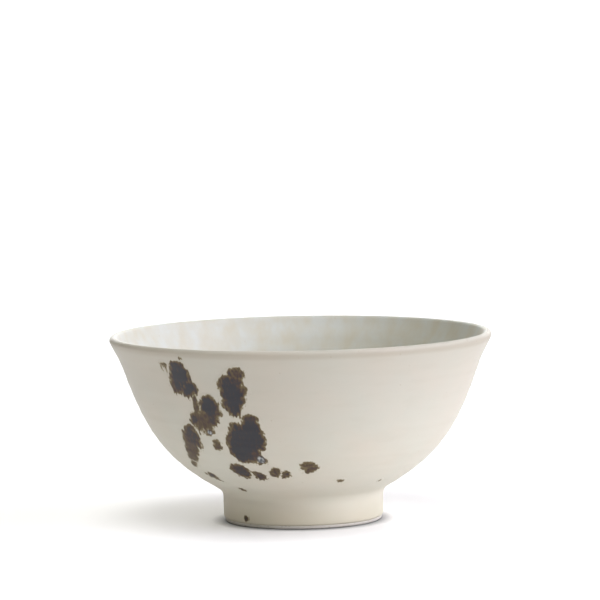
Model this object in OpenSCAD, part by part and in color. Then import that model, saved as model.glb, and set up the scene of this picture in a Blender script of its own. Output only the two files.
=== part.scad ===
// Matcha bowl: a wheel-thrown stoneware tea bowl on a turned foot ring, glazed inside and
// out, with iron splashes low on one side. Millimetres, +Z up, front towards -Y. The origin
// is on the table, at the centre of the foot.

/* [Bowl] */
// Diameter over the rim
rim_d = 135; // [108:1:170]
// Height from the table to the top of the lip
bowl_h = 66.3; // [53:0.1:85]
// Thickness of the lip, glaze included
lip_t = 2.8; // [1.6:0.1:3.4]
// Wall thickness where the flare starts, glaze included
wall_t = 3; // [2.4:0.1:4.2]
// Wall thickness just above the foot, glaze included
base_wall_t = 4.7; // [3.6:0.1:6.5]
// Floor thickness at the centre, glaze included
floor_t = 6; // [4:0.1:8]

/* [Flare of the rim] */
// Height of the flare, from where it starts to the top of the lip
flare_h = 13; // [8:0.5:18]
// How much narrower the bowl is in radius where the flare starts
flare_in = 5.1; // [3:0.1:8]
// Slope of the wall where the flare starts, in degrees
flare_slope = 71; // [62:1:80]
// Slope of the wall at the lip, in degrees
lip_slope = 65; // [50:1:75]
// Reach of the flare's lower handle, as a share of the flare
flare_low_reach = 0.52; // [0.3:0.01:0.6]
// Reach of the flare's upper handle, as a share of the flare
flare_high_reach = 0.35; // [0.2:0.01:0.6]

/* [Belly] */
// Slope of the belly where it leaves the foot, in degrees
belly_slope = 30; // [20:1:40]
// Reach of the belly's lower handle, as a share of the belly
belly_low_reach = 0.38; // [0.25:0.01:0.5]
// Reach of the belly's upper handle, as a share of the belly
belly_high_reach = 0.45; // [0.25:0.01:0.55]
// Reach of both handles of the floor inside, as a share of the floor
floor_reach = 0.33; // [0.2:0.01:0.45]

/* [Foot] */
// Diameter over the foot, glaze included
foot_d = 56.8; // [48:0.2:66]
// Height of the foot's upright wall, up to the rounded corner
foot_h = 8.7; // [7:0.1:12]
// Radius of the corner between foot and belly
corner_r = 3.7; // [2:0.1:5]
// How much the foot narrows in radius towards the table
foot_taper = 0.2; // [0:0.05:1]
// Width of the foot ring in clay
ring_w = 4.4; // [3:0.1:6]
// Radius of the ring's edges at the table
ring_edge_r = 0.9; // [0.5:0.1:1.3]
// Depth of the well inside the foot ring, at its centre
well_h = 6.5; // [4:0.1:7.5]
// Radius of the slip in the inner corner of the well
well_corner_r = 1.5; // [0.8:0.1:2]

/* [Glaze and slip] */
// Thickness of the glaze coats
glaze_t = 0.4; // [0.2:0.05:0.6]
// Height of the bare clay at the bottom of the foot
glaze_line = 1.2; // [1:0.1:3]
// Thickness of the slip joint between ring and body
slip_t = 0.4; // [0.2:0.05:0.8]

/* [Iron splashes] */
// Thickness of the iron splashes and spots on the glaze
iron_t = 0.15; // [0.1:0.05:0.3]
// Thickness of the glaze beads
bead_t = 0.6; // [0.4:0.05:0.9]
// Unevenness of the splashes' edges, as a share of their size
iron_wobble = 0.07; // [0:0.01:0.12]

/* [Hidden] */
$fn = 96;

clay_color = "#b9a68c";
slip_color = "#a8957c";
glaze_color = "#ddd9cc";
iron_color = "#36333a";
spot_color = "#5a4632";
bead_color = "#9aa3ad";

// Pieces of each curve
CORNER_STEPS = 5;
FLOOR_STEPS = 6;
BELLY_STEPS = 16;
FLARE_STEPS = 6;
LIP_SIDE_STEPS = 2;
LIP_STEPS = 6;
WELL_STEPS = 8;
SEAT_STEPS = 6;
BLOB_STEPS = 14;

rim_r = rim_d / 2;
foot_r = foot_d / 2;
lip_r = lip_t / 2;
clay_foot_r = foot_r - glaze_t;
ring_in_r = clay_foot_r - ring_w;
contact_out_r = clay_foot_r - foot_taper - ring_edge_r;
contact_in_r = ring_in_r + ring_edge_r;
floor_z = well_h + floor_t;

// Iron pools: [turn from the front in degrees, place on the wall, width, length, lean].
// The place runs from 0 at the top of the foot to 1 at the lip, and down to -1 at the table.
// A blob that leans has its top further to the right.
// Blobs that overlap melt into one pool, and the narrow ones are the runs below it.
POOLS = [
    [-17.8, 0.484, 7.4, 13.8, 0],
    [-17.8, 0.582, 5.8, 3.4, 0],
    [-20.6, 0.415, 7.0, 12.0, 0],
    [-16.7, 0.436, 5.4, 6.2, 10],
    [-23.2, 0.436, 7.4, 13.2, 6],
    [-25.4, 0.380, 6.0, 7.0, 0],
    [-23.2, 0.332, 6.0, 4.6, 0],
    [-18.9, 0.349, 4.0, 4.6, 0],
    [-22.2, 0.727, 8.6, 12.0, 0],
    [-23.9, 0.807, 4.6, 5.6, 0],
    [-20.1, 0.865, 5.8, 4.8, 0],
    [-20.6, 0.814, 4.4, 3.8, 0],
    [-22.6, 0.641, 4.6, 5.6, 0],
    [-18.5, 0.759, 2.8, 2.8, 0],
    [-19.0, 0.675, 3.2, 3.6, 0],
    [-25.2, 0.672, 3.0, 3.6, 0],
    [-40.5, 0.842, 8.6, 10.4, 0],
    [-42.6, 0.780, 5.4, 6.6, 0],
    [-37.2, 0.757, 5.2, 5.0, -20],
    [-39.8, 0.738, 4.6, 3.8, 0],
    [-31.9, 0.651, 7.2, 9.0, 6],
    [-31.3, 0.568, 3.4, 5.4, 10],
    [-35.2, 0.561, 5.8, 7.8, 8],
    [-37.2, 0.655, 2.6, 9.0, 8],
    [-39.5, 0.566, 4.4, 4.4, 0],
    [-37.3, 0.554, 3.6, 5.2, 0],
    [-44.3, 0.460, 7.2, 9.2, 16],
    [-46.6, 0.488, 3.4, 3.8, 0],
    [-48.4, 0.359, 6.2, 9.0, 30],
    [-51.8, 0.307, 4.6, 6.0, 38],
    [-55.0, 0.259, 2.8, 4.8, 50],
];

// Small spots and dashes of iron, in the same form
SPOTS = [
    [-46.0, 0.901, 3.8, 1.9, 0],
    [-45.9, 0.870, 1.4, 4.4, 3],
    [-47.5, 0.880, 1.5, 3.2, 8],
    [-38.0, 0.944, 1.7, 1.5, 0],
    [-33.3, 0.413, 3.7, 4.6, 18],
    [-28.4, 0.243, 6.0, 7.4, -14],
    [-26.9, 0.224, 4.4, 4.2, 0],
    [-20.2, 0.205, 4.2, 4.8, 0],
    [-12.1, 0.240, 3.7, 4.8, 8],
    [-7.3, 0.224, 3.0, 3.8, 8],
    [-8.7, 0.203, 1.6, 2.4, 34],
    [2.2, 0.278, 5.8, 4.8, 0],
    [4.3, 0.269, 4.0, 4.4, 0],
    [18.5, 0.165, 2.6, 1.8, 0],
    [45.0, 0.137, 1.3, 1.5, 0],
    [-53.2, 0.194, 1.6, 2.3, 50],
    [-49.4, 0.188, 2.8, 4.2, 45],
    [-46.9, 0.153, 1.6, 3.8, -46],
    [-38.3, 0.097, 1.5, 3.2, -36],
    [-14.6, 0.288, 1.1, 1.2, 0],
    [-45.0, -0.667, 2.4, 2.4, 0],
];

// Thick beads of glaze at the lower ends of two pools
BEADS = [
    [-16.8, 0.323, 3.1, 4.0, 0],
    [-34.7, 0.488, 2.3, 2.3, 0],
];

// Curves

// Unit direction of a wall that rises at this slope, away from the axis
function along(slope) = [cos(slope), sin(slope)];

// Unit normal that points out of the bowl, for a wall at this slope
function outward(slope) = [sin(slope), -cos(slope)];

function bezier_point(a, b, c, d, t) =
    (1 - t) ^ 3 * a + 3 * (1 - t) ^ 2 * t * b + 3 * (1 - t) * t ^ 2 * c + t ^ 3 * d;

// Points of a cubic curve, without the last one
function bezier(a, b, c, d, steps) =
    [for (i = [0 : steps - 1]) bezier_point(a, b, c, d, i / steps)];

// Points of an arc around a centre, both ends included
function arc(centre, r, from, to, steps) =
    [for (i = [0 : steps]) centre + r * along(from + (to - from) * i / steps)];

// The same, but without the last point
function open_arc(centre, r, from, to, steps) =
    [for (i = [0 : steps - 1]) centre + r * along(from + (to - from) * i / steps)];

function backwards(points) = [for (i = [len(points) - 1 : -1 : 0]) points[i]];

// Direction of a path at point i, from its neighbours
function heading(path, i) =
    let (step = path[min(i + 1, len(path) - 1)] - path[max(i - 1, 0)])
    step / norm(step);

// A path moved sideways by a distance, to its left as it runs
function shifted(path, distance) =
    [for (i = [0 : len(path) - 1])
        let (h = heading(path, i))
        path[i] + distance * [-h[1], h[0]]];

// Finished surfaces, as paths of [radius, height]

corner_centre = [foot_r + corner_r, foot_h];
corner_end = corner_centre + corner_r * along(90 + belly_slope);
flare_start = [rim_r - flare_in, bowl_h - flare_h];
lip_centre = [rim_r - lip_r, bowl_h - lip_r];
lip_out = lip_centre + lip_r * outward(lip_slope);
lip_in = lip_centre - lip_r * outward(lip_slope);
belly_span = norm(flare_start - corner_end);
flare_span = norm(lip_out - flare_start);
floor_end = corner_end - base_wall_t * outward(belly_slope);
inner_flare_start = flare_start - wall_t * outward(flare_slope);
floor_span = norm(floor_end - [0, floor_z]);
inner_span = norm(inner_flare_start - floor_end);
inner_flare_span = norm(lip_in - inner_flare_start);

// From the top of the foot's wall, round the corner, up the belly and flare, to the lip's top
wall_path = concat(
    open_arc(corner_centre, corner_r, 180, 90 + belly_slope, CORNER_STEPS),
    bezier(corner_end,
           corner_end + belly_low_reach * belly_span * along(belly_slope),
           flare_start - belly_high_reach * belly_span * along(flare_slope),
           flare_start, BELLY_STEPS),
    bezier(flare_start,
           flare_start + flare_low_reach * flare_span * along(flare_slope),
           lip_out - flare_high_reach * flare_span * along(lip_slope),
           lip_out, FLARE_STEPS),
    open_arc(lip_centre, lip_r, lip_slope - 90, 0, LIP_SIDE_STEPS),
    arc(lip_centre, lip_r, 0, 90, LIP_STEPS));

// From the centre of the floor up the inside, to the lip's top
inner_path = concat(
    bezier([0, floor_z],
           [floor_reach * floor_span, floor_z],
           floor_end - floor_reach * floor_span * along(belly_slope),
           floor_end, FLOOR_STEPS),
    bezier(floor_end,
           floor_end + belly_low_reach * inner_span * along(belly_slope),
           inner_flare_start - belly_high_reach * inner_span * along(flare_slope),
           inner_flare_start, BELLY_STEPS),
    bezier(inner_flare_start,
           inner_flare_start + flare_low_reach * inner_flare_span * along(flare_slope),
           lip_in - flare_high_reach * inner_flare_span * along(lip_slope),
           lip_in, FLARE_STEPS),
    arc(lip_centre, lip_r, lip_slope + 90, 90, LIP_STEPS));

// Radius of the foot ring's clay wall, which narrows towards the table
function foot_wall_r(z) =
    clay_foot_r - foot_taper * (foot_h - z) / (foot_h - ring_edge_r);

// The glaze on the foot's wall, from its lower edge up
foot_glaze_path = [
    [foot_wall_r(glaze_line), glaze_line],
    [foot_wall_r(glaze_line + glaze_t) + 0.75 * glaze_t, glaze_line + glaze_t],
    [foot_wall_r(glaze_line + 2 * glaze_t) + glaze_t, glaze_line + 2 * glaze_t],
];

// The whole of the glazed outside, and the clay under it
outside_path = concat(foot_glaze_path, wall_path);
clay_wall_path = shifted(wall_path, glaze_t);
clay_inner_path = shifted(inner_path, -glaze_t);
clay_lip_top = [lip_centre[0], bowl_h - glaze_t];

// Height and slope of the clay where the slip in the corner meets the belly
joint = clay_wall_path[CORNER_STEPS];
joint_rise = joint[1] - well_h - glaze_t;

// Underside of the thrown body, which dips into the foot ring: flat at the centre and as
// steep as the belly where the two meet
under_power = tan(belly_slope) * joint[0] / joint_rise;
function under_z(r) = well_h + glaze_t + joint_rise * (r / joint[0]) ^ under_power;

// Points of the underside between two radii, lowered by a distance
function under_path(from, to, lowered, steps) =
    [for (i = [0 : steps])
        let (r = from + (to - from) * i / steps)
        [r, under_z(r) - lowered]];

// The underside in two stretches: over the well, and over the ring and its slip
well_edge_r = ring_in_r - well_corner_r;
well_under_path = under_path(0, well_edge_r, 0, WELL_STEPS);
seat_under_path = under_path(well_edge_r, joint[0], 0, SEAT_STEPS);

// The bed of the foot ring, under the slip
bed_path = under_path(ring_in_r, clay_foot_r, slip_t, SEAT_STEPS);

// The small fillet of slip where the ring meets the underside, inside the well
well_corner_top = under_z(well_edge_r);
well_corner_foot = under_z(ring_in_r) - slip_t - well_corner_r;
well_corner_path = bezier([well_edge_r, well_corner_top],
                          [ring_in_r - well_corner_r / 3, under_z(ring_in_r) - slip_t / 2],
                          [ring_in_r, well_corner_foot + well_corner_r / 2],
                          [ring_in_r, well_corner_foot], CORNER_STEPS);

// What the well's glaze covers: the underside, the slip in the corner, and the ring's wall
well_clay_path = concat(
    well_under_path,
    [for (i = [1 : CORNER_STEPS - 1]) well_corner_path[i]],
    [[ring_in_r, well_corner_foot], [ring_in_r, glaze_line + glaze_t]]);

// Sub-parts

module bowl_body() {
    color(clay_color)
    rotate_extrude()
    polygon(concat(
        well_under_path,
        [for (i = [1 : SEAT_STEPS]) seat_under_path[i]],
        [for (i = [CORNER_STEPS + 1 : len(clay_wall_path) - 2]) clay_wall_path[i]],
        [clay_lip_top],
        [for (i = [len(clay_inner_path) - 2 : -1 : 1]) clay_inner_path[i]],
        [[0, floor_z - glaze_t]]));
}

module foot_ring() {
    color(clay_color)
    rotate_extrude()
    polygon(concat(
        arc([contact_in_r, ring_edge_r], ring_edge_r, 180, 270, CORNER_STEPS),
        arc([contact_out_r, ring_edge_r], ring_edge_r, 270, 360, CORNER_STEPS),
        [[clay_foot_r, foot_h]],
        backwards(bed_path)));
}

module luting_slip() {
    color(slip_color)
    rotate_extrude()
    polygon(concat(
        [for (i = [0 : CORNER_STEPS - 1]) clay_wall_path[i]],
        backwards(seat_under_path),
        [for (i = [1 : CORNER_STEPS - 1]) well_corner_path[i]],
        [[ring_in_r, well_corner_foot]],
        bed_path));
}

module outer_glaze() {
    color(glaze_color)
    rotate_extrude()
    polygon(concat(
        outside_path,
        [clay_lip_top],
        [for (i = [len(clay_wall_path) - 2 : -1 : 0]) clay_wall_path[i]],
        [[clay_foot_r, foot_h]]));
}

module inner_glaze() {
    color(glaze_color)
    rotate_extrude()
    polygon(concat(
        inner_path,
        [clay_lip_top],
        [for (i = [len(clay_inner_path) - 2 : -1 : 1]) clay_inner_path[i]],
        [[0, floor_z - glaze_t]]));
}

module foot_well_glaze() {
    skin = shifted(well_clay_path, -glaze_t);
    last = len(well_clay_path) - 1;
    color(glaze_color)
    rotate_extrude()
    polygon(concat(
        [[0, well_h]],
        [for (i = [1 : last - 1]) skin[i]],
        [[ring_in_r - glaze_t * 0.75, glaze_line + glaze_t * 1.5]],
        backwards(well_clay_path)));
}

// A layer that lies on the glazed outside, from the foot to the start of the lip
module wall_layer(thickness) {
    last = len(outside_path) - LIP_STEPS - LIP_SIDE_STEPS - 1;
    wall = [for (i = [2 : last]) outside_path[i]];
    rotate_extrude()
    polygon(concat(wall, backwards(shifted(wall, -thickness))));
}

// Height of a place on the wall, and the radius and slope of the glazed outside there
function wall_z(place) =
    place < 0 ? foot_h * (1 + place) : foot_h + place * (bowl_h - foot_h);
function wall_r(z) = lookup(z, [for (p = outside_path) [p[1], p[0]]]);
function wall_slope(z) = atan2(2, wall_r(z + 1) - wall_r(z - 1));

// Outline of a blob with a slightly uneven edge
function blob(width, length, phase) =
    [for (i = [0 : BLOB_STEPS - 1])
        let (t = 360 * i / BLOB_STEPS,
             swell = 1 + iron_wobble * (sin(2 * t + phase) + sin(3 * t - 2 * phase)))
        swell * [width / 2 * cos(t), length / 2 * sin(t)]];

// Upright prisms through the wall, one for each blob in a list
module stamps(list) {
    reach = 2;
    for (s = list)
        let (z = wall_z(s[1]))
        rotate([0, 0, s[0]])
        translate([0, -wall_r(z), z])
        rotate([180 - wall_slope(z), 0, 0])
        rotate([0, 0, -s[4]])
        translate([0, 0, -reach])
        linear_extrude(2 * reach)
        polygon(blob(s[2], s[3], s[0] * 7 + s[1] * 600));
}

module iron_splashes() {
    color(iron_color)
    difference() {
        intersection() {
            wall_layer(iron_t);
            stamps(POOLS);
        }
        stamps(BEADS);
    }
}

module iron_spots() {
    color(spot_color)
    intersection() {
        wall_layer(iron_t);
        stamps(SPOTS);
    }
}

module glaze_beads() {
    color(bead_color)
    intersection() {
        wall_layer(bead_t);
        stamps(BEADS);
    }
}

bowl_body();
foot_ring();
luting_slip();
outer_glaze();
inner_glaze();
foot_well_glaze();
iron_splashes();
iron_spots();
glaze_beads();
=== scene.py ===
# %% [markdown]
# # A matcha bowl, from its clay to its iron splashes
#
# The bowl is a wheel-thrown tea bowl: a round belly, a lip that flares a little, and a turned
# foot ring. It is coated inside and out with a satin-matt ivory glaze, and before the firing
# iron was flicked onto one side of it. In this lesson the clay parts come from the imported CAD
# model, and we make what the eye sees: the glaze coats, the iron that melted into them, two
# glassy beads, and the bare foot.
#
# The CAD model is loaded first and never moved. Every new piece is put where it says.

# %% Load the frame
import math

import bpy
import numpy as np
from mathutils import Euler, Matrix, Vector, noise


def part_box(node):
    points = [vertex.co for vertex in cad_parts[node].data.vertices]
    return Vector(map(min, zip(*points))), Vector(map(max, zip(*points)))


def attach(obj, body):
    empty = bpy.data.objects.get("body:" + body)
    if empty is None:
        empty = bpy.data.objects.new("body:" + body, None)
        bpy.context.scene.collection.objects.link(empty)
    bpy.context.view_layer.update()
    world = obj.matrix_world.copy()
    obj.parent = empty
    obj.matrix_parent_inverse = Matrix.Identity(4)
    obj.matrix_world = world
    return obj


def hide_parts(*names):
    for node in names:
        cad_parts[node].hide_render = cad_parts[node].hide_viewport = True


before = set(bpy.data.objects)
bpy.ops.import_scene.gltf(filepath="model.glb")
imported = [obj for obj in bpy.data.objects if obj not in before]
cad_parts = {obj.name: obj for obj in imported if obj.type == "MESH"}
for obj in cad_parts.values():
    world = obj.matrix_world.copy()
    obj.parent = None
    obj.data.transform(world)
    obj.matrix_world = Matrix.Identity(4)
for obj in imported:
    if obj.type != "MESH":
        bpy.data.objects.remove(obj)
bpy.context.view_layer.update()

print("nodes:", sorted(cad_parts))

MM = 0.001
TAU = 2 * math.pi

# %% [markdown]
# ## Small helpers
#
# An operator acts on whatever is selected, and loading the model leaves its nodes selected.
# So before each operator everything is deselected, and only the piece in hand is selected.
# Colours are written as the hex values that a painter would pick, and turned to linear light.

# %% Selecting, colours and nodes
def take(piece):
    """Select one piece, and nothing else."""
    bpy.ops.object.select_all(action="DESELECT")
    piece.select_set(True)
    bpy.context.view_layer.objects.active = piece


def linear(hex_colour):
    """An sRGB hex colour as linear red, green, blue and alpha."""
    shown = [int(hex_colour[i:i + 2], 16) / 255 for i in (1, 3, 5)]
    light = [v / 12.92 if v <= 0.04045 else ((v + 0.055) / 1.055) ** 2.4 for v in shown]
    return (*light, 1.0)


def add(tree, kind, inputs=None, **settings):
    """Add a node, with its settings, and with values or links for its inputs."""
    node = tree.nodes.new(kind)
    for name, value in settings.items():
        setattr(node, name, value)
    for name, value in (inputs or {}).items():
        if isinstance(value, bpy.types.NodeSocket):
            tree.links.new(value, node.inputs[name])
        else:
            node.inputs[name].default_value = value
    return node


def new_material(name):
    """An empty material with a Principled shader, and that shader."""
    material = bpy.data.materials.new(name)
    material.use_nodes = True
    tree = material.node_tree
    tree.nodes.clear()
    shader = add(tree, "ShaderNodeBsdfPrincipled")
    add(tree, "ShaderNodeOutputMaterial", {"Surface": shader.outputs[0]})
    return material, tree, shader


def smooth_step(value, low, high):
    """0 below low, 1 above high, and an even S between them."""
    t = np.clip((value - low) / (high - low), 0, 1)
    return t * t * (3 - 2 * t)


# %% [markdown]
# ## The outline of the bowl
#
# A bowl from the wheel is a body of revolution, so its whole shape is one outline. We don't
# draw that outline again: we read it from the CAD nodes. Each node's mesh has rings of
# vertices at the outline's points, and the faces' normals say which side is the finished one.
# A smooth curve through those points gives back the potter's line between them.

# %% Read the outlines from the CAD nodes
SLIVER = 1e-12       # square metres: a smaller face has no direction worth reading


def ring_points(node, is_finished):
    """[radius, height] of the rings on a node's finished side, in metres."""
    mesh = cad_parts[node].data
    found = set()
    for face in mesh.polygons:
        x, y, _ = face.center
        reach = max(math.hypot(x, y), 1e-9)
        outwards = (face.normal.x * x + face.normal.y * y) / reach
        if face.area > SLIVER and is_finished(outwards, face.normal.z):
            for i in face.vertices:
                v = mesh.vertices[i].co
                found.add((round(math.hypot(v.x, v.y), 6), round(v.z, 6)))
    return np.array(sorted(found))


def thinned(points, gap=0.03 * MM):
    """The points in their order, without those that fall on the one before."""
    kept = [points[0]]
    for p in points[1:]:
        if np.hypot(*(p - kept[-1])) > gap:
            kept.append(p)
    return np.array(kept)


outer_points = ring_points("outer_glaze", lambda out, up: out > 0.05)
outer_points = thinned(outer_points[np.argsort(outer_points[:, 1])])
inner_points = thinned(ring_points("inner_glaze", lambda out, up: up > 0.02))
well_points = ring_points("foot_well_glaze", lambda out, up: up < -0.05 or out < -0.5)
well_points = thinned(well_points[np.lexsort((-well_points[:, 1], well_points[:, 0]))])
print("points:", len(outer_points), len(inner_points), len(well_points))


# %% [markdown]
# ### A smooth line through the points
#
# A Catmull-Rom curve passes through every point and keeps a steady direction there. The line
# is then measured along its length, and points are set on it closely where it bends sharply,
# as at the lip, and further apart on the belly.

# %% Smooth and space an outline
def smooth_line(points, per_span=24):
    """A dense Catmull-Rom line through the points."""
    p = np.vstack([2 * points[0] - points[1], points, 2 * points[-1] - points[-2]])
    knots = np.concatenate([[0], np.cumsum(np.hypot(*np.diff(p, axis=0).T) ** 0.75)])
    line = []
    for i in range(1, len(p) - 2):
        for t in np.linspace(knots[i], knots[i + 1], per_span, endpoint=False):
            a = [((knots[k + 1] - t) * p[k] + (t - knots[k]) * p[k + 1])
                 / (knots[k + 1] - knots[k]) for k in range(i - 1, i + 2)]
            b = [((knots[k + 2] - t) * a[j] + (t - knots[k]) * a[j + 1])
                 / (knots[k + 2] - knots[k]) for j, k in enumerate((i - 1, i))]
            line.append(((knots[i + 1] - t) * b[0] + (t - knots[i]) * b[1])
                        / (knots[i + 1] - knots[i]))
    return np.array(line + [points[-1]])


def along_line(line):
    """The distance from the line's start to each of its points."""
    return np.concatenate([[0], np.cumsum(np.hypot(*np.diff(line, axis=0).T))])


def spaced(line, finest, coarsest, turn=math.radians(9)):
    """The line again, with steps that turn by about the same angle, within limits."""
    s = along_line(line)
    direction = np.unwrap(np.arctan2(*np.gradient(line, axis=0).T[::-1]))
    bend = np.abs(np.gradient(direction, s))
    bend = np.convolve(np.pad(bend, 12, mode="edge"), np.ones(25) / 25, mode="valid")
    step = np.clip(turn / np.maximum(bend, 1e-6), finest, coarsest)
    count = np.concatenate([[0], np.cumsum(np.diff(s) / step[:-1])])
    wanted = np.linspace(0, count[-1], max(2, math.ceil(count[-1]) + 1))
    at = np.interp(wanted, count, s)
    return np.column_stack([np.interp(at, s, line[:, k]) for k in (0, 1)])


outer_line = spaced(smooth_line(outer_points), 0.12 * MM, 0.8 * MM)
inner_line = spaced(smooth_line(inner_points), 0.12 * MM, 1.0 * MM)
well_line = spaced(smooth_line(well_points), 0.15 * MM, 0.8 * MM)
outer_s = along_line(outer_line)
print("outline points after spacing:", len(outer_line), len(inner_line), len(well_line))

# %% [markdown]
# ## Places on the wall
#
# The splashes have to lie exactly on the wall, so both are made from one function. A place on
# the wall is a turn from the front and a distance up the outline. The function also adds the
# faint rings that the potter's fingers left: low ridges that run round the wall as a slow
# spiral, a few hundredths of a millimetre deep, and always inside the CAD surface.

# %% The wall with its throwing rings
RING_WAVES = ((6.3 * MM, 0.035 * MM, 0.4), (3.9 * MM, 0.022 * MM, 1.9), (2.3 * MM, 0.010 * MM, 4.0))
RING_FADE = 4 * MM


def throwing_rings(turn, s, length):
    """Depth of the finger rings at a turn in radians and a distance along the wall."""
    depth = 0
    for i, (wave, height, shift) in enumerate(RING_WAVES):
        spiral = (i + 1) * turn
        depth = depth + height * (1 + np.sin(TAU * s / wave + shift + spiral))
    ends = (smooth_step(s, RING_FADE, 3 * RING_FADE)
            * smooth_step(length - s, RING_FADE, 3 * RING_FADE))
    return depth * ends


def line_normals(line):
    """Unit normals on the right-hand side of a line, as [radial, up]."""
    step = np.gradient(line, axis=0)
    step /= np.hypot(*step.T)[:, None]
    return np.column_stack([step[:, 1], -step[:, 0]])


outer_normals = line_normals(outer_line)


def wall_point(turn, s, lift=0.0):
    """A point on the outside, lifted off the surface. All three may be arrays."""
    r, z, nr, nz = (np.interp(s, outer_s, column) for column in
                    (*outer_line.T, *outer_normals.T))
    off = lift - throwing_rings(turn, s, outer_s[-1])
    r = r + nr * off
    return np.stack([r * np.sin(turn), -r * np.cos(turn), z + nz * off], axis=-1)


print("wall length: %.1f mm" % (outer_s[-1] / MM))

# %% [markdown]
# ## Turning a piece on the wheel
#
# The outline becomes a curve, the curve becomes a line of edges, and the Spin operator turns
# it round the axis, as the wheel does. Where the turn closes, the doubled vertices are merged,
# and then the normals are made to point outwards. The Screw modifier could turn it as well,
# but Spin in edit mode leaves a finished mesh at once.

# %% Spin an outline into a piece
def turned(name, outline, steps, closed):
    """A body of revolution from an outline of [radius, height]."""
    bpy.ops.object.select_all(action="DESELECT")
    bpy.ops.curve.primitive_bezier_curve_add(location=(0, 0, 0))
    curve = bpy.context.object
    curve.data.splines.clear()
    spline = curve.data.splines.new("POLY")
    spline.points.add(len(outline) - 1)
    for point, (r, z) in zip(spline.points, outline):
        point.co = (0, -r, z, 1)
    spline.use_cyclic_u = closed
    take(curve)
    bpy.ops.object.convert(target="MESH")
    piece = bpy.context.object
    piece.name = piece.data.name = name
    bpy.ops.object.mode_set(mode="EDIT")
    bpy.ops.mesh.select_all(action="SELECT")
    bpy.ops.mesh.spin(steps=steps, angle=TAU, center=(0, 0, 0), axis=(0, 0, 1))
    bpy.ops.mesh.select_all(action="SELECT")
    bpy.ops.mesh.remove_doubles(threshold=0.004 * MM)
    bpy.ops.mesh.normals_make_consistent(inside=False)
    bpy.ops.object.mode_set(mode="OBJECT")
    bpy.ops.object.shade_smooth()
    return piece


def vertex_array(piece):
    """All vertex places of a piece as rows of x, y and z."""
    places = np.empty(len(piece.data.vertices) * 3)
    piece.data.vertices.foreach_get("co", places)
    return places.reshape(-1, 3)


def place_vertices(piece, places):
    """Write the rows back to the piece."""
    piece.data.vertices.foreach_set("co", np.asarray(places, dtype=float).ravel())
    piece.data.update()


# %% [markdown]
# ### A flat map for what is turned
#
# A bake needs a map of the surface. For a bowl the natural one is the view along its axis with
# the wall laid flat, so that every ring keeps its distance from the middle. The hidden back
# of the coat goes into one small corner of the map.

# %% Lay a turned piece flat
FRONT_REACH = 0.15 * MM      # a vertex this close to the line is on the finished side


def lay_flat(piece, line, margin=0.02):
    """A UV map with the finished side as a disc and everything else in a corner."""
    reach = along_line(line) + line[0, 0]
    mesh = piece.data
    places = vertex_array(piece)
    radius = np.hypot(places[:, 0], places[:, 1])
    gap = (radius[:, None] - line[:, 0]) ** 2 + (places[:, 2, None] - line[:, 1]) ** 2
    nearest = gap.argmin(axis=1)
    on_front = np.sqrt(gap.min(axis=1)) < FRONT_REACH
    share = (0.5 - margin) * reach[nearest] / reach[-1]
    turn = np.arctan2(places[:, 0], -places[:, 1])
    disc = np.column_stack([0.5 + share * np.cos(turn), 0.5 + share * np.sin(turn)])
    corner = margin / 2 + margin * (disc - 0.5)
    corners = np.empty(len(mesh.loops), dtype=int)
    mesh.loops.foreach_get("vertex_index", corners)
    starts = np.empty(len(mesh.polygons), dtype=int)
    mesh.polygons.foreach_get("loop_start", starts)
    totals = np.empty(len(mesh.polygons), dtype=int)
    mesh.polygons.foreach_get("loop_total", totals)
    whole = np.minimum.reduceat(on_front[corners].astype(int), starts)
    front = np.repeat(whole, totals).astype(bool)
    uv = np.where(front[:, None], disc[corners], corner[corners])
    layer = mesh.uv_layers.new(name="OFBake")
    layer.data.foreach_set("uv", uv.ravel())


# %% [markdown]
# ## The coats of glaze
#
# Glaze is a coat of glass a few tenths of a millimetre thick. Each coat is modelled as what it
# is: a closed skin, with the finished line in front and a second line just behind it, hidden
# against the clay. The outer coat ends above the table in an edge that isn't quite level,
# because the potter wiped it with a sponge.

# %% Make the coats
COAT = 0.36 * MM
WHEEL_STEPS = 320
WIPE_UNEVEN = 0.14 * MM


def backed(line):
    """The outline of a coat: its finished line, and back again just behind it."""
    behind = line - COAT * line_normals(line)
    return np.vstack([line, behind[-2:0:-1]])


outer_coat = turned("outer_coat", backed(outer_line), WHEEL_STEPS, closed=True)
places = vertex_array(outer_coat)
turn = np.arctan2(places[:, 0], -places[:, 1])
radius = np.hypot(places[:, 0], places[:, 1])
s = np.interp(places[:, 2], outer_line[:, 1], outer_s)
depth = throwing_rings(turn, s, outer_s[-1])
nr = np.interp(s, outer_s, outer_normals[:, 0])
nz = np.interp(s, outer_s, outer_normals[:, 1])
places[:, 0] -= nr * depth * np.sin(turn)
places[:, 1] += nr * depth * np.cos(turn)
places[:, 2] -= nz * depth
low = outer_line[0, 1]
near_edge = 1 - smooth_step(places[:, 2], low + 0.5 * MM, low + 2.5 * MM)
wave = [noise.noise(Vector((2.2 * math.cos(a), 2.2 * math.sin(a), 3))) for a in turn]
places[:, 2] += near_edge * WIPE_UNEVEN * (np.array(wave) + 0.4)
place_vertices(outer_coat, places)
lay_flat(outer_coat, outer_line)
print("outer coat:", len(outer_coat.data.polygons), "faces")

# %% [markdown]
# The inner coat runs from the middle of the floor to the top of the lip, so its outline starts
# and ends on the axis and Spin closes it there. The potter's fingers left wider rings inside.

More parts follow.
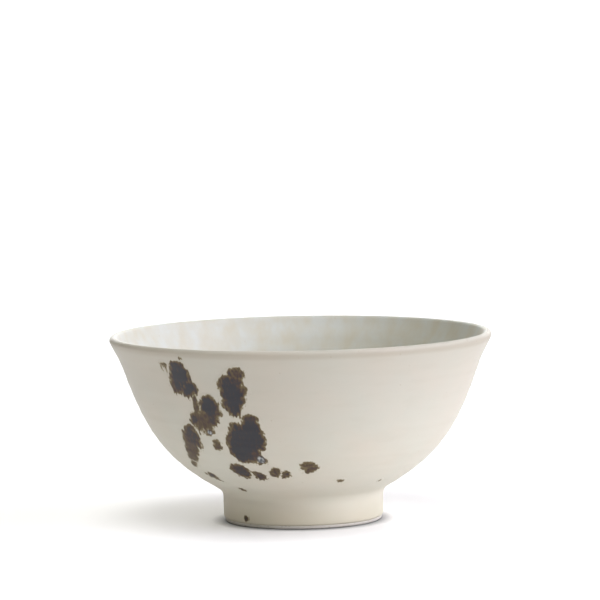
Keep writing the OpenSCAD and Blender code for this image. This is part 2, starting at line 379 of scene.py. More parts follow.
# %% The inner coat and the coat in the foot's well
inner_back = inner_line + COAT * line_normals(inner_line)
inner_back[0, 0] = 0
inner_coat = turned("inner_coat", np.vstack([inner_line, inner_back[::-1]]), WHEEL_STEPS,
                    closed=False)
inner_s = along_line(inner_line)
inner_normals = line_normals(inner_line)
places = vertex_array(inner_coat)
radius = np.hypot(places[:, 0], places[:, 1])
turn = np.arctan2(places[:, 0], -places[:, 1])
s = np.interp(radius, inner_line[:, 0], inner_s)
depth = throwing_rings(-turn, 0.8 * s, 0.8 * inner_s[-1])
nr = np.interp(s, inner_s, inner_normals[:, 0])
nz = np.interp(s, inner_s, inner_normals[:, 1])
places[:, 0] += nr * depth * np.sin(turn)
places[:, 1] -= nr * depth * np.cos(turn)
places[:, 2] += nz * depth
place_vertices(inner_coat, places)
lay_flat(inner_coat, inner_line)

well_back = well_line - COAT * line_normals(well_line)
well_back[0, 0] = 0
well_coat = turned("well_coat", np.vstack([well_line, well_back[::-1]]), 192, closed=False)
lay_flat(well_coat, well_line)
print("inner coat:", len(inner_coat.data.polygons), "well coat:", len(well_coat.data.polygons))

# %% [markdown]
# ## The foot ring
#
# The ring was turned from leather-hard clay with a loop tool, and its underside is left bare,
# or it would stick to the kiln shelf. So it gets fine turning grooves on the face that it
# stands on. Its section is read from the CAD node like the other outlines.

# %% Make the foot ring
RING_TOP = 9 * MM       # below this height the ring is a plain wall
BARE_TOP = 8.4 * MM     # the visible ring ends here, hidden under the coats
GROOVE_DEPTH = 0.012 * MM
GROOVE_PITCH = 0.55 * MM
ring_section = ring_points("foot_ring", lambda out, up: True)
ring_wall = ring_section[ring_section[:, 1] < RING_TOP]
ring_in = ring_wall[:, 0].min()
ring_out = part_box("foot_ring")[1][0]
contact = ring_wall[ring_wall[:, 1] < 0.01 * MM][:, 0]
edge_in = contact.min() - ring_in
edge_out = ring_wall[ring_wall[:, 1] < 1 * MM][:, 0].max() - contact.max()


def quarter(centre, size, start, steps=8):
    """A quarter of a circle, as points."""
    angles = [math.radians(start + 90 * i / steps) for i in range(steps + 1)]
    return [(centre[0] + size * math.cos(a), centre[1] + size * math.sin(a)) for a in angles]


face = np.linspace(contact.min(), contact.max(), 26)[1:-1]
grooves = GROOVE_DEPTH * (1 + np.sin(TAU * face / GROOVE_PITCH))
ring_outline = np.array(
    [(ring_in, BARE_TOP)]
    + quarter((contact.min(), edge_in), edge_in, 180)
    + list(zip(face, grooves))
    + quarter((contact.max(), edge_out), edge_out, 270)
    + [(ring_out - 0.02 * MM, BARE_TOP)])
foot = turned("foot_clay", ring_outline, 240, closed=True)
lay_flat(foot, ring_outline)
print("foot ring: %.1f to %.1f mm in radius" % (ring_in / MM, ring_out / MM))

# %% [markdown]
# ## The iron splashes
#
# Iron slip was flicked onto the raw glaze. In the kiln each drop sank in, spread, and ran down
# a little: thick pools turned blue-black, thin edges brown, and the thinnest stain is tan. A
# drop is described by its turn, its height, its width and length in millimetres, how far it
# leans, and how much iron it holds, from a tan stain at 0 to a blue-black pool at 1.
#
# The drops of a pool are laid on a fine grid. For each grid point we work out how deep it lies
# inside the drops, which melt together where they meet. Noise, stretched down the wall, frays
# the edges into the small runs that real iron has, more at the lower end of a drop and less
# on a small one. Points outside are deleted, and the rest is laid on the wall with a thickness
# that swells towards the middle of the pool.

# %% The drops, pool by pool
# Each drop: (turn in degrees, height, width, length, lean in degrees, iron)
POOLS = {
    "splash_large": [
        (-17.8, 36.6, 7.2, 13.4, 0, 1.0), (-17.8, 42.2, 5.8, 3.2, 0, 0.74),
        (-20.6, 32.6, 6.6, 11.4, 0, 1.0), (-16.7, 33.8, 5.4, 6.2, 10, 0.9),
        (-23.5, 33.8, 7.2, 12.8, 6, 1.0), (-24.0, 39.2, 3.6, 3.0, 0, 0.86),
        (-25.4, 30.6, 5.8, 6.6, 0, 1.0), (-24.4, 27.5, 3.8, 3.6, 0, 1.0),
        (-21.4, 28.4, 4.6, 4.0, 0, 1.0), (-27.4, 34.3, 3.4, 2.8, 0, 0.7),
        (-19.2, 29.4, 3.6, 4.4, 0, 0.5), (-15.5, 26.8, 1.5, 2.0, 24, 0.66),
        (-17.8, 25.7, 2.2, 1.3, 0, 0.6), (-18.6, 27.4, 2.0, 2.6, 0, 0.8),
    ],
    "splash_upper": [
        (-22.4, 50.9, 7.8, 10.8, 0, 1.0), (-23.9, 55.2, 4.2, 5.0, 0, 0.94),
        (-20.1, 58.5, 5.7, 4.6, 0, 0.72), (-22.6, 45.6, 4.4, 5.6, 0, 0.96),
        (-25.2, 47.4, 3.0, 3.6, 0, 0.66), (-18.5, 52.4, 2.8, 2.6, 0, 0.8),
        (-19.8, 48.6, 2.4, 2.6, 0, 0.72), (-26.3, 54.2, 2.2, 2.2, 0, 0.55),
        (-20.6, 55.6, 4.4, 3.4, 0, 0.82),
    ],
    "splash_side": [
        (-40.5, 57.2, 8.2, 9.6, 0, 1.0), (-40.4, 60.6, 6.0, 2.4, 0, 0.74),
        (-37.2, 52.3, 5.0, 4.8, -20, 0.98), (-39.8, 51.2, 4.4, 3.4, 0, 1.0),
        (-42.6, 53.6, 5.0, 6.4, 0, 0.94), (-44.4, 53.2, 3.0, 5.4, 0, 0.5),
    ],
    "splash_middle": [
        (-31.9, 46.2, 6.9, 8.6, 6, 1.0), (-31.3, 41.4, 3.2, 5.2, 10, 0.8),
        (-29.0, 44.2, 2.0, 4.4, 0, 0.56), (-35.2, 41.0, 5.4, 7.4, 8, 0.58),
        (-37.3, 40.4, 3.4, 5.0, 0, 0.52), (-39.3, 36.8, 1.4, 4.2, 12, 0.46),
        (-33.5, 37.3, 1.7, 1.2, 30, 0.56), (-35.7, 35.9, 1.6, 1.1, 0, 0.52),
        (-37.2, 46.4, 2.3, 8.8, 8, 0.5), (-39.5, 41.3, 4.2, 4.2, 0, 0.86),
    ],
    "splash_low": [
        (-44.5, 34.8, 6.8, 8.0, 14, 0.86), (-43.4, 37.8, 3.4, 2.6, 0, 0.8),
        (-47.8, 33.6, 3.2, 4.6, 0, 0.66), (-43.0, 31.9, 3.8, 3.4, 0, 0.72),
        (-48.4, 29.4, 5.8, 8.6, 30, 0.58), (-51.8, 26.4, 4.2, 5.4, 38, 0.55),
        (-55.2, 23.5, 2.6, 4.6, 50, 0.46),
    ],
}
SPOTS = {
    "spot_rim_dash": [(-46.0, 60.6, 3.6, 1.3, 0, 0.5), (-45.7, 58.9, 0.8, 4.2, 3, 0.42),
                      (-47.7, 59.2, 0.9, 2.8, 8, 0.32)],
    "spot_rim_dot": [(-38.0, 63.1, 1.6, 1.3, 0, 0.5)],
    "spot_middle": [(-33.3, 32.5, 3.5, 4.4, 18, 0.52), (-34.6, 31.2, 1.8, 2.2, 0, 0.6)],
    "spot_row_a": [(-28.4, 22.7, 5.6, 6.6, -14, 0.88), (-26.9, 21.4, 4.2, 4.0, 0, 0.96),
                   (-30.2, 23.6, 2.6, 2.6, 0, 0.66), (-31.6, 23.4, 1.4, 1.0, 0, 0.5)],
    "spot_row_b": [(-20.2, 20.5, 4.0, 4.6, 0, 0.78), (-21.6, 21.7, 1.9, 2.8, -20, 0.6)],
    "spot_row_c": [(-12.1, 22.6, 3.5, 4.4, 8, 0.74), (-12.9, 20.9, 1.6, 2.4, 20, 0.6)],
    "spot_row_d": [(-7.3, 21.6, 2.8, 3.6, 8, 0.76), (-8.7, 20.4, 1.4, 2.2, 34, 0.58)],
    "spot_right": [(2.3, 25.0, 4.8, 3.2, 0, 0.62), (4.8, 23.8, 3.4, 2.8, 0, 0.68),
                   (2.4, 22.9, 2.2, 3.0, 20, 0.6), (-0.3, 24.6, 1.8, 1.4, 40, 0.5)],
    "spot_far_right": [(18.5, 18.2, 3.0, 2.0, 0, 0.5)],
    "spot_edge_right": [(45.0, 16.6, 1.1, 1.4, 0, 0.5)],
    "spot_left_a": [(-53.2, 19.9, 1.5, 2.2, 50, 0.46)],
    "spot_left_b": [(-49.4, 19.5, 3.3, 4.0, 45, 0.82), (-47.3, 17.9, 1.5, 2.8, -40, 0.7)],
    "spot_above_foot": [(-38.3, 14.3, 2.3, 2.6, -36, 0.8)],
    "spot_faint": [(-14.6, 25.3, 0.9, 1.1, 0, 0.3)],
    "spot_foot": [(-45.0, 2.9, 2.2, 2.2, 0, 0.9)],
}
print(sum(map(len, POOLS.values())), "drops in pools,", sum(map(len, SPOTS.values())), "in spots")


# %% How deep a point lies in a pool
def height_to_s(height):
    """Distance up the wall at a height in millimetres."""
    return np.interp(height * MM, outer_line[:, 1], outer_s)


def drop_depth(x_turn, s, drop, radius):
    """Distance in mm from each point to the edge of a drop, positive inside, and 1 at its foot."""
    turn, height, width, length, lean, _ = drop
    dx = (x_turn - math.radians(turn)) * radius / MM
    dy = (s - height_to_s(height)) / MM
    c, si = math.cos(math.radians(lean)), math.sin(math.radians(lean))
    across, up = dx * c - dy * si, dx * si + dy * c
    reach = np.hypot(across / (width / 2), up / (length / 2))
    half = np.hypot(across, up) / np.maximum(reach, 1e-6)
    return (1 - reach) * half, smooth_step(-up / (length / 2), -1.0, 0.6)


def frayed(across, up, seed):
    """Noise in mm that frays an edge: broad lobes, and finer runs stretched down the wall."""
    lobes, runs, grain = (np.array([noise.noise(Vector((a * fx, u * fy, seed + shift)))
                                    for a, u in zip(across, up)])
                          for fx, fy, shift in ((0.30, 0.28, 0), (0.95, 0.50, 7), (2.2, 1.6, 13)))
    return 0.70 * lobes + 0.95 * runs + 0.30 * grain


# %% [markdown]
# The grid is a primitive at its real size, so its squares are its mesh. Vertices outside the
# pool are selected in code, by their depth, and deleted with the operator. Two attributes stay
# on the points: how much iron there is, and how deep the point lies. Solidify gives the
# sheet a back, which sits inside the coat, so each splash is a closed solid.

# %% Make one splash
STAIN = 0.9          # how far in mm the stain reaches beyond the pool's edge
MARGIN = 2.2 * MM    # bare grid kept around the drops, for what frays beyond them
SINK = 0.05 * MM     # thickness of a splash's back, inside the coat
SKIN = 0.012 * MM    # how far the thinnest stain stands off the coat
MELT = 1.2           # how sharply two drops stay apart, per mm: a low value melts them together
SPREAD = 0.22        # how far in mm the iron crept beyond each drop


def splash(name, drops, grid, seed, relief):
    """A pool of iron on the wall, from its drops."""
    turns = np.radians([d[0] for d in drops])
    places_s = height_to_s(np.array([d[1] for d in drops]))
    sizes = np.array([max(d[2], d[3]) for d in drops]) * MM
    mid_turn, mid_s = (turns.min() + turns.max()) / 2, (places_s.min() + places_s.max()) / 2
    radius = np.interp(mid_s, outer_s, outer_line[:, 0])
    half_w = max(abs(turns - mid_turn) * radius + sizes / 2) + MARGIN
    half_h = max(abs(places_s - mid_s) + sizes / 2) + MARGIN
    nx, ny = math.ceil(2 * half_w / (grid * MM)), math.ceil(2 * half_h / (grid * MM))
    bpy.ops.object.select_all(action="DESELECT")
    bpy.ops.mesh.primitive_grid_add(x_subdivisions=nx, y_subdivisions=ny, size=2)
    piece = bpy.context.object
    piece.name = piece.data.name = name
    flat = vertex_array(piece) * [half_w, half_h, 0]
    turn = mid_turn + flat[:, 0] / radius
    s = mid_s + flat[:, 1]
    local_r = np.interp(s, outer_s, outer_line[:, 0])
    rough = frayed(flat[:, 0] / MM, flat[:, 1] / MM, seed)
    iron, weight = np.zeros(len(s)), np.zeros(len(s))
    for drop in drops:
        inside, foot_end = drop_depth(turn, s, drop, local_r)
        calm = min(1.0, min(drop[2], drop[3]) / 4.0)
        inside = inside + SPREAD * calm + rough * (0.3 + 0.7 * calm) * (0.3 + 0.9 * foot_end)
        share = np.exp(np.clip(inside, -8, 8) * MELT)
        iron += share * drop[5]
        weight += share
    iron /= weight
    depth = np.log(weight) / MELT
    keep = depth > -STAIN
    take(piece)
    bpy.ops.object.mode_set(mode="EDIT")
    bpy.ops.mesh.select_all(action="DESELECT")
    bpy.ops.object.mode_set(mode="OBJECT")
    piece.data.vertices.foreach_set("select", ~keep)
    bpy.ops.object.mode_set(mode="EDIT")
    bpy.ops.mesh.delete(type="VERT")
    bpy.ops.object.mode_set(mode="OBJECT")
    depth, iron, turn, s = depth[keep], iron[keep], turn[keep], s[keep]
    swell = smooth_step(depth, -0.2, 1.6) * iron
    lift = SKIN + relief * MM * swell
    mesh = piece.data
    for label, values in (("iron", iron), ("depth", depth)):
        mesh.attributes.new(label, "FLOAT", "POINT").data.foreach_set("value", values)
    layer = mesh.uv_layers.new(name="OFBake")
    corners = np.empty(len(mesh.loops), dtype=int)
    mesh.loops.foreach_get("vertex_index", corners)
    kept_flat = flat[keep]
    span = 2 * max(half_w, half_h)
    uv = 0.5 + kept_flat[corners][:, :2] / span * 0.96
    layer.data.foreach_set("uv", uv.ravel())
    place_vertices(piece, wall_point(turn, s, lift))
    solid = piece.modifiers.new("back", "SOLIDIFY")
    solid.thickness = SINK
    solid.offset = -1
    bpy.ops.object.modifier_apply(modifier=solid.name)
    bpy.ops.object.shade_smooth()
    return piece


splashes = [splash(name, drops, 0.2, 11 * i + 3, 0.10)
            for i, (name, drops) in enumerate(POOLS.items())]
spots = [splash(name, drops, 0.16, 11 * i + 90, 0.07)
         for i, (name, drops) in enumerate(SPOTS.items())]
print("faces in splashes:", [len(p.data.polygons) for p in splashes])
print("faces in spots:", sum(len(p.data.polygons) for p in spots))

# %% [markdown]
# ## The glass beads
#
# At the lower end of two pools the melt gathered into a thick bead, which stayed glassy and
# turned bluish. A bead is a flattened drop of glass: a sphere to start with, pressed flat
# against the wall, broad below and drawn out towards the pool above it.

# %% Make the beads
BEADS = [("bead_large", -16.8, 27.3, 3.1, 4.2, 0.34), ("bead_small", -34.7, 36.8, 2.2, 2.3, 0.22)]


def bead(name, turn_deg, height, width, length, thick):
    """A glass bead on the wall. Sizes are in millimetres."""
    bpy.ops.object.select_all(action="DESELECT")
    bpy.ops.mesh.primitive_uv_sphere_add(segments=48, ring_count=32, radius=1)
    piece = bpy.context.object
    piece.name = piece.data.name = name
    p = vertex_array(piece)
    lumps = np.array([noise.noise(Vector(v) * 1.3 + Vector((turn_deg, 0, 0))) for v in p])
    p *= (1 + 0.16 * lumps)[:, None]
    taper = 1 - 0.16 * p[:, 1]
    turn = math.radians(turn_deg)
    mid = float(height_to_s(height))
    radius = np.interp(mid, outer_s, outer_line[:, 0])
    lift = np.where(p[:, 2] > 0, thick * p[:, 2], 0.15 * p[:, 2]) * MM
    places = wall_point(turn + p[:, 0] * taper * width / 2 * MM / radius,
                        mid + p[:, 1] * length / 2 * MM, lift)
    place_vertices(piece, places)
    mesh = piece.data
    mesh.attributes.new("iron", "FLOAT", "POINT").data.foreach_set(
        "value", smooth_step(np.hypot(p[:, 0], p[:, 1]), 0.45, 1.0))
    bpy.ops.object.shade_smooth()
    return piece


beads = [bead(*b) for b in BEADS]
print("beads:", [b.name for b in beads])

# %% [markdown]
# ## The ivory glaze
#
# A dolomite matt glaze: its surface is full of crystals too small to see, so it shines softly,
# like eggshell. Its ivory isn't even. It is a little pinker or greener in broad soft clouds,
# and a little darker in the finger rings. Its colour is darkened towards the lip as painted
# shade, and brightened towards the foot as painted light from the floor. Just above the foot it
# is a little straw yellow. Just under the lip a tan band is painted shade of the rounded lip's
# underside, where the glaze is also thin. The iron in the stoneware bleeds through as a few
# tan specks.
#
# The same recipe is used for the coats and for the rim of every splash, so it is one function
# that adds its nodes to a material.

# %% The recipe of the ivory glaze
def ivory(tree, warm, cool, deep, cloud=22, streak=1.0, thick=1.07, top_shade_gain=0.85,
          under_lip_shade=0.28):
    """Adds the nodes of the glaze, and returns its colour, its roughness and its normal."""
    place = add(tree, "ShaderNodeTexCoord").outputs["Object"]
    cloud_place = add(tree, "ShaderNodeMapping", {"Vector": place, "Scale": (1, 1, streak)})
    clouds = add(tree, "ShaderNodeTexNoise",
                 {"Vector": cloud_place.outputs[0], "Scale": 1000 / cloud, "Detail": 4.0,
                  "Roughness": 0.55})
    tone = add(tree, "ShaderNodeMapRange",
               {"Value": clouds.outputs["Fac"], "From Min": 0.35, "From Max": 0.65})
    base = add(tree, "ShaderNodeMix",
               {"Factor": tone.outputs[0], "A": linear(warm), "B": linear(cool)},
               data_type="RGBA")
    ring_place = add(tree, "ShaderNodeMapping", {"Vector": place, "Scale": (0.25, 0.25, 1)})
    rings = add(tree, "ShaderNodeTexNoise",
                {"Vector": ring_place.outputs[0], "Scale": 1 / 0.0035, "Detail": 2.0})
    ring_tone = add(tree, "ShaderNodeMapRange",
                    {"Value": rings.outputs["Fac"], "From Min": 0.5, "From Max": 0.75,
                     "To Max": 0.14})
    ringed = add(tree, "ShaderNodeMix",
                 {"Factor": ring_tone.outputs[0], "A": base.outputs["Result"], "B": linear(deep)},
                 data_type="RGBA")
    cells = add(tree, "ShaderNodeTexVoronoi",
                {"Vector": place, "Scale": 1 / 0.0034, "Randomness": 1.0})
    speck = add(tree, "ShaderNodeMapRange",
                {"Value": cells.outputs["Distance"], "From Min": 0.03, "From Max": 0.09,
                 "To Min": 1.0, "To Max": 0.0})
    pick = add(tree, "ShaderNodeSeparateColor", {"Color": cells.outputs["Color"]})
    few = add(tree, "ShaderNodeMapRange",
              {"Value": pick.outputs[0], "From Min": 0.62, "From Max": 0.95, "To Max": 0.5})
    speck_on = add(tree, "ShaderNodeMath", {0: speck.outputs[0], 1: few.outputs[0]},
                   operation="MULTIPLY")
    colour = add(tree, "ShaderNodeMix",
                 {"Factor": speck_on.outputs[0], "A": ringed.outputs["Result"],
                  "B": linear("#A08866")}, data_type="RGBA")
    grain = add(tree, "ShaderNodeTexNoise", {"Vector": place, "Scale": 1 / 0.0006, "Detail": 2.0})
    peel = add(tree, "ShaderNodeTexNoise", {"Vector": place, "Scale": 1 / 0.003, "Detail": 2.0})
    relief = add(tree, "ShaderNodeMath", {0: grain.outputs["Fac"], 1: 0.35, 2: peel.outputs["Fac"]},
                 operation="MULTIPLY_ADD")
    bump = add(tree, "ShaderNodeBump",
               {"Height": relief.outputs[0], "Strength": 0.35, "Distance": 0.00004})
    height = add(tree, "ShaderNodeSeparateXYZ", {"Vector": place}).outputs["Z"]
    # Painted light and shade: the colour is scaled by height, brighter low on the wall as painted
    # floor bounce and darker towards the lip as painted shade.
    shade_by_height = add(tree, "ShaderNodeMapRange",
               {"Value": height, "From Min": 0.008, "From Max": 0.064, "To Min": thick,
                "To Max": top_shade_gain})
    # Straw yellower in the last few millimetres above the foot.
    foot_tint = add(tree, "ShaderNodeMapRange",
                 {"Value": height, "From Min": 0.003, "From Max": 0.014, "To Min": 0.32,
                  "To Max": 0.0})
    straw = add(tree, "ShaderNodeMix",
                {"Factor": foot_tint.outputs[0], "A": colour.outputs["Result"],
                 "B": linear("#C9BE98")}, data_type="RGBA")
    # Painted shade: a tan band just under the lip, where the rounded lip's underside is in shade
    # and the glaze is also thin.
    below_lip = add(tree, "ShaderNodeMapRange",
                    {"Value": height, "From Min": 0.0626, "From Max": 0.0642, "To Max": under_lip_shade},
                    interpolation_type="SMOOTHSTEP")
    crest = add(tree, "ShaderNodeMapRange",
                {"Value": height, "From Min": 0.0650, "From Max": 0.0659, "To Min": 1.0,
                 "To Max": 0.0})
    under_lip_band = add(tree, "ShaderNodeMath", {0: below_lip.outputs[0], 1: crest.outputs[0]},
                    operation="MULTIPLY")
    under_lip_shaded = add(tree, "ShaderNodeMix",
                 {"Factor": under_lip_band.outputs[0], "A": straw.outputs["Result"],
                  "B": linear("#A5947A")}, data_type="RGBA")
    laid = add(tree, "ShaderNodeVectorMath",
               {0: under_lip_shaded.outputs["Result"], "Scale": shade_by_height.outputs[0]}, operation="SCALE")
    rough = add(tree, "ShaderNodeMapRange",
                {"Value": clouds.outputs["Fac"], "To Min": 0.46, "To Max": 0.60})
    return laid.outputs[0], rough.outputs[0], bump.outputs[0]


matt_ivory, tree, shader = new_material("matt_ivory_glaze")
OUTER_IVORY = ("#CAC3B4", "#C7C4B6", "#B9B2A0")
colour, rough, normal = ivory(tree, *OUTER_IVORY)
tree.links.new(colour, shader.inputs["Base Color"])
tree.links.new(rough, shader.inputs["Roughness"])
tree.links.new(normal, shader.inputs["Normal"])
shader.inputs["IOR"].default_value = 1.5
print("made", matt_ivory.name)

# %% [markdown]
# Inside the bowl the coat is thicker. It ran down the wall before it froze, so its clouds are
# drawn out down the wall: bluish white where it is thick, straw where it is thin.

# %% The glaze inside
inner_ivory, tree, shader = new_material("matt_ivory_glaze_inside")
# Inside, the painted shade towards the lip is slight, and there is no painted band under the lip.
colour, rough, normal = ivory(tree, "#C8C4B4", "#CBCDC6", "#BEB9A8", cloud=6, streak=0.6,
                              thick=1, top_shade_gain=0.97, under_lip_shade=0.0)
tree.links.new(colour, shader.inputs["Base Color"])
tree.links.new(rough, shader.inputs["Roughness"])
tree.links.new(normal, shader.inputs["Normal"])
shader.inputs["IOR"].default_value = 1.5

# %% [markdown]
# ## The iron
#
# Thin iron stains the ivory glaze, and thick iron covers it. So its material mixes from the
# same ivory recipe to the iron's own colours, by how deep a point lies in the pool and how
# much iron the drop held. Thick iron melts to a smoother skin, so it is glossier.

# %% The iron's material
iron_glaze, tree, shader = new_material("iron_splash_glaze")
colour, rough, normal = ivory(tree, *OUTER_IVORY)
depth = add(tree, "ShaderNodeAttribute", attribute_name="depth").outputs["Fac"]
iron = add(tree, "ShaderNodeAttribute", attribute_name="iron").outputs["Fac"]
place = add(tree, "ShaderNodeTexCoord").outputs["Object"]
run_place = add(tree, "ShaderNodeMapping", {"Vector": place, "Scale": (1, 1, 0.32)})
runs = add(tree, "ShaderNodeTexNoise",
           {"Vector": run_place.outputs[0], "Scale": 1 / 0.0008, "Detail": 3.0})
fray = add(tree, "ShaderNodeMath", {0: runs.outputs["Fac"], 1: 1.8, 2: -0.9},
           operation="MULTIPLY_ADD")
frayed_depth = add(tree, "ShaderNodeMath", {0: depth, 1: fray.outputs[0]}, operation="ADD")
reach = add(tree, "ShaderNodeMapRange",
            {"Value": frayed_depth.outputs[0], "From Min": -0.3, "From Max": 1.45})
streaks = add(tree, "ShaderNodeMath", {0: runs.outputs["Fac"], 1: 0.9, 2: -0.42},
              operation="MULTIPLY_ADD")
melt = add(tree, "ShaderNodeMath", {0: iron, 1: streaks.outputs[0]}, operation="ADD")
amount = add(tree, "ShaderNodeMath", {0: reach.outputs[0], 1: melt.outputs[0]},
             operation="MULTIPLY")
ramp = add(tree, "ShaderNodeValToRGB", {"Fac": amount.outputs[0]})
IRON_STOPS = ((0.0, "#AFA284"), (0.12, "#877954"), (0.26, "#675836"), (0.42, "#554527"),
              (0.58, "#4A3820"), (0.73, "#40291D"), (0.87, "#2F2422"), (1.0, "#202027"))
for i, (stop, shade) in enumerate(IRON_STOPS):
    element = ramp.color_ramp.elements[i] if i < 2 else ramp.color_ramp.elements.new(stop)
    element.position = stop
    element.color = linear(shade)
cover = add(tree, "ShaderNodeMapRange",
            {"Value": amount.outputs[0], "From Min": 0.01, "From Max": 0.26},
            interpolation_type="SMOOTHSTEP")
mixed = add(tree, "ShaderNodeMix", {"Factor": cover.outputs[0], "A": colour, "B": ramp.outputs[0]},
            data_type="RGBA")
skin = add(tree, "ShaderNodeMix", {"Factor": amount.outputs[0], "A": rough, "B": 0.46})
tree.links.new(mixed.outputs["Result"], shader.inputs["Base Color"])
tree.links.new(skin.outputs["Result"], shader.inputs["Roughness"])
tree.links.new(normal, shader.inputs["Normal"])
shader.inputs["IOR"].default_value = 1.5

# %% [markdown]
# ## Glass beads and bare clay
#
# The beads are bluish glass over dark iron, glossy as a wet pebble, with pale patches painted into
# their colour as glints. The clay of the foot
# is a pale stoneware: dry and rough, toasted a little in the fire, with dark iron grains.

# %% Bead glass and stoneware
bead_glass, tree, shader = new_material("bluish_bead_glass")
edge = add(tree, "ShaderNodeAttribute", attribute_name="iron").outputs["Fac"]
place = add(tree, "ShaderNodeTexCoord").outputs["Object"]
# Painted glints: pale patches mixed into the dark glass, where the lamps shine in it.
glint_milk = add(tree, "ShaderNodeTexNoise", {"Vector": place, "Scale": 1 / 0.0016, "Detail": 3.0})
glint_milk_tone = add(tree, "ShaderNodeMapRange",
                {"Value": glint_milk.outputs["Fac"], "From Min": 0.46, "From Max": 0.58})
body = add(tree, "ShaderNodeMix", {"Factor": glint_milk_tone.outputs[0], "A": linear("#55585A"),
                                   "B": linear("#B2B4B2")}, data_type="RGBA")
glass = add(tree, "ShaderNodeMix", {"Factor": edge, "A": body.outputs["Result"],
                                    "B": linear("#4A4036")}, data_type="RGBA")
tree.links.new(glass.outputs["Result"], shader.inputs["Base Color"])
shader.inputs["Roughness"].default_value = 0.22
shader.inputs["IOR"].default_value = 1.52

stoneware, tree, shader = new_material("bare_stoneware")
place = add(tree, "ShaderNodeTexCoord").outputs["Object"]
toast = add(tree, "ShaderNodeTexNoise", {"Vector": place, "Scale": 1 / 0.012, "Detail": 4.0})
clay = add(tree, "ShaderNodeMix", {"Factor": toast.outputs["Fac"], "A": linear("#DDD9CF"),
                                   "B": linear("#CFC9BB")}, data_type="RGBA")
grains = add(tree, "ShaderNodeTexVoronoi", {"Vector": place, "Scale": 1 / 0.0011})
grain_on = add(tree, "ShaderNodeMapRange", {"Value": grains.outputs["Distance"], "From Min": 0.10,
                                            "From Max": 0.22, "To Min": 0.5, "To Max": 0.0})
speckled = add(tree, "ShaderNodeMix", {"Factor": grain_on.outputs[0], "A": clay.outputs["Result"],
                                       "B": linear("#6E543C")}, data_type="RGBA")
sand = add(tree, "ShaderNodeTexNoise", {"Vector": place, "Scale": 1 / 0.0004, "Detail": 3.0})
sand_bump = add(tree, "ShaderNodeBump", {"Height": sand.outputs["Fac"], "Strength": 0.6,
                                         "Distance": 0.00008})
tree.links.new(speckled.outputs["Result"], shader.inputs["Base Color"])
tree.links.new(sand_bump.outputs[0], shader.inputs["Normal"])
shader.inputs["Roughness"].default_value = 0.88
print("materials:", [m.name for m in (matt_ivory, inner_ivory, iron_glaze, bead_glass, stoneware)])

# %% [markdown]
# ## Give every piece its finish and its body
#
# The bowl has one body, the root, because nothing on it moves. Each piece rides on it and takes
# its material, and the CAD node that it details is hidden.

# %% Dress the pieces
def dress(pieces, node, material):
    """Give pieces their material and their body, and hide the CAD node that they stand for."""
    for piece in pieces:
        piece.data.materials.clear()
        piece.data.materials.append(material)
        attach(piece, "root")
        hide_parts(node)


dress([outer_coat], "outer_glaze", matt_ivory)
dress([inner_coat], "inner_glaze", inner_ivory)
dress([well_coat], "foot_well_glaze", matt_ivory)
dress([foot], "foot_ring", stoneware)
dress(splashes, "iron_splashes", iron_glaze)
dress(spots, "iron_spots", iron_glaze)
dress(beads, "glaze_beads", bead_glass)

# The thrown body and the slip are inside the coats. They keep their CAD shape, in bare clay.
for node in ("bowl_body", "luting_slip"):
    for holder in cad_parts[node].material_slots:
        holder.material = stoneware
print("dressed", 4 + len(splashes) + len(spots) + len(beads), "pieces")

# %% [markdown]
# ## The floor, the light and the camera
#
# The bowl stands on a white floor. The backdrop is white too, but only for the camera: it
# gives no light. A sun with a wide angle is a soft light that is the same everywhere, like a
# big softbox far off, so the bowl is lit by seven of them. The strongest stands low on the
# right and models the form, the next stands low behind, and the others fill in from above.
#
# The floor glows faintly, as a lit paper sweep does. Close to the foot neither the lamps nor
# the rest of the room reach it, so the Ambient Occlusion node darkens it in the last few
# millimetres before the foot.

# %% Set the stage
bpy.ops.object.select_all(action="DESELECT")
bpy.ops.mesh.primitive_circle_add(vertices=128, radius=6, fill_type="NGON", location=(0, 0, 0))
floor = bpy.context.object
floor.name = "floor"
white, tree, shader = new_material("white_floor")
open_sky = add(tree, "ShaderNodeAmbientOcclusion", {"Distance": 0.006}, samples=16)
shade = add(tree, "ShaderNodeMath", {0: open_sky.outputs["AO"], 1: 1.2}, operation="POWER")
paper = add(tree, "ShaderNodeCombineColor",
            {"Red": shade.outputs[0], "Green": shade.outputs[0], "Blue": shade.outputs[0]})
glow = add(tree, "ShaderNodeMath", {0: shade.outputs[0], 1: 0.08}, operation="MULTIPLY")
tree.links.new(paper.outputs[0], shader.inputs["Base Color"])
tree.links.new(glow.outputs[0], shader.inputs["Emission Strength"])
shader.inputs["Emission Color"].default_value = linear("#FFFFFF")
shader.inputs["Roughness"].default_value = 0.9
shader.inputs["Specular IOR Level"].default_value = 0.1
floor.data.materials.append(white)


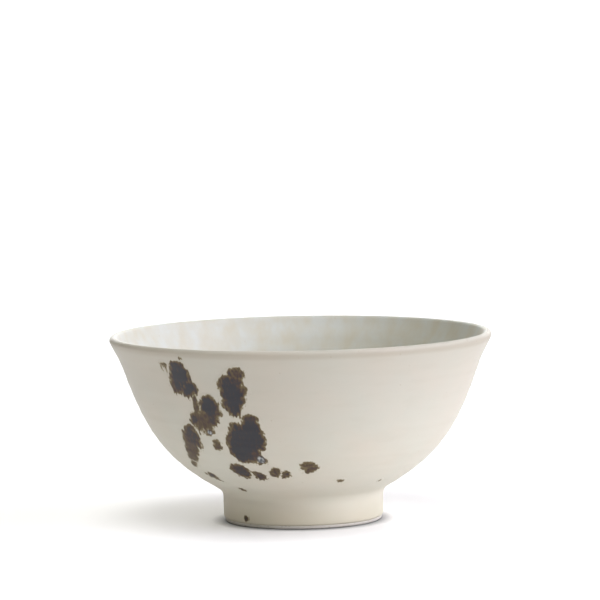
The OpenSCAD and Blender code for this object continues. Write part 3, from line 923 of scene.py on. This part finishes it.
def soft_light(name, turn, rise, strength, colour="#FFFFFF", spread=45):
    """A big soft light. Its turn is from the front, + to the right, and its rise from the floor."""
    lamp = bpy.data.lights.new(name, "SUN")
    lamp.angle = math.radians(spread)
    lamp.energy = math.pi * strength
    lamp.color = linear(colour)[:3]
    holder = bpy.data.objects.new(name, lamp)
    a, e = math.radians(turn), math.radians(rise)
    towards = Vector((math.sin(a) * math.cos(e), -math.cos(a) * math.cos(e), math.sin(e)))
    holder.rotation_euler = towards.to_track_quat("Z", "Y").to_euler()
    bpy.context.collection.objects.link(holder)


soft_light("key_right", 65, 17, 0.69, "#F1F0FF")
soft_light("high_right", 90, 38, 0.205, "#F1F0FF")
soft_light("behind_right", 130, 20, 0.20)
soft_light("behind", 180, 15, 0.52)
soft_light("above_left", -40, 60, 0.21, "#FFFEFA")
soft_light("above_front", 0, 36, 0.09, "#FFFEFA")
soft_light("overhead", 0, 80, 0.30, "#FFFEFA", spread=30)

world = bpy.data.worlds.new("white_room")
bpy.context.scene.world = world
world.use_nodes = True
tree = world.node_tree
tree.nodes.clear()
seen = add(tree, "ShaderNodeLightPath").outputs["Is Camera Ray"]
backdrop = add(tree, "ShaderNodeBackground", {"Color": (1, 1, 1, 1), "Strength": 1.0})
both = add(tree, "ShaderNodeMixShader", {0: seen, 2: backdrop.outputs[0]})
add(tree, "ShaderNodeOutputWorld", {"Surface": both.outputs[0]})

bpy.context.scene.view_settings.view_transform = "Standard"
bpy.context.scene.view_settings.exposure = 0.15

# %% [markdown]
# The camera is far off with a long lens, as for a catalogue: the ellipse of the rim is narrow
# and the foot hardly shrinks. It is rolled by one degree, and it aims above the bowl, which
# stands low in the frame.

# %% The camera
camera_data = bpy.data.cameras.new("camera")
camera_data.sensor_width = 36
camera_data.lens = 230.1
camera = bpy.data.objects.new("camera", camera_data)
bpy.context.collection.objects.link(camera)
camera.location = (0, -1.35, 0.1938)
aim = Vector((0.0001, 0, 0.0778))
level = (aim - camera.location).to_track_quat("-Z", "Y")
camera.rotation_euler = (level @ Euler((0, 0, math.radians(-1.04))).to_quaternion()).to_euler()
bpy.context.scene.camera = camera
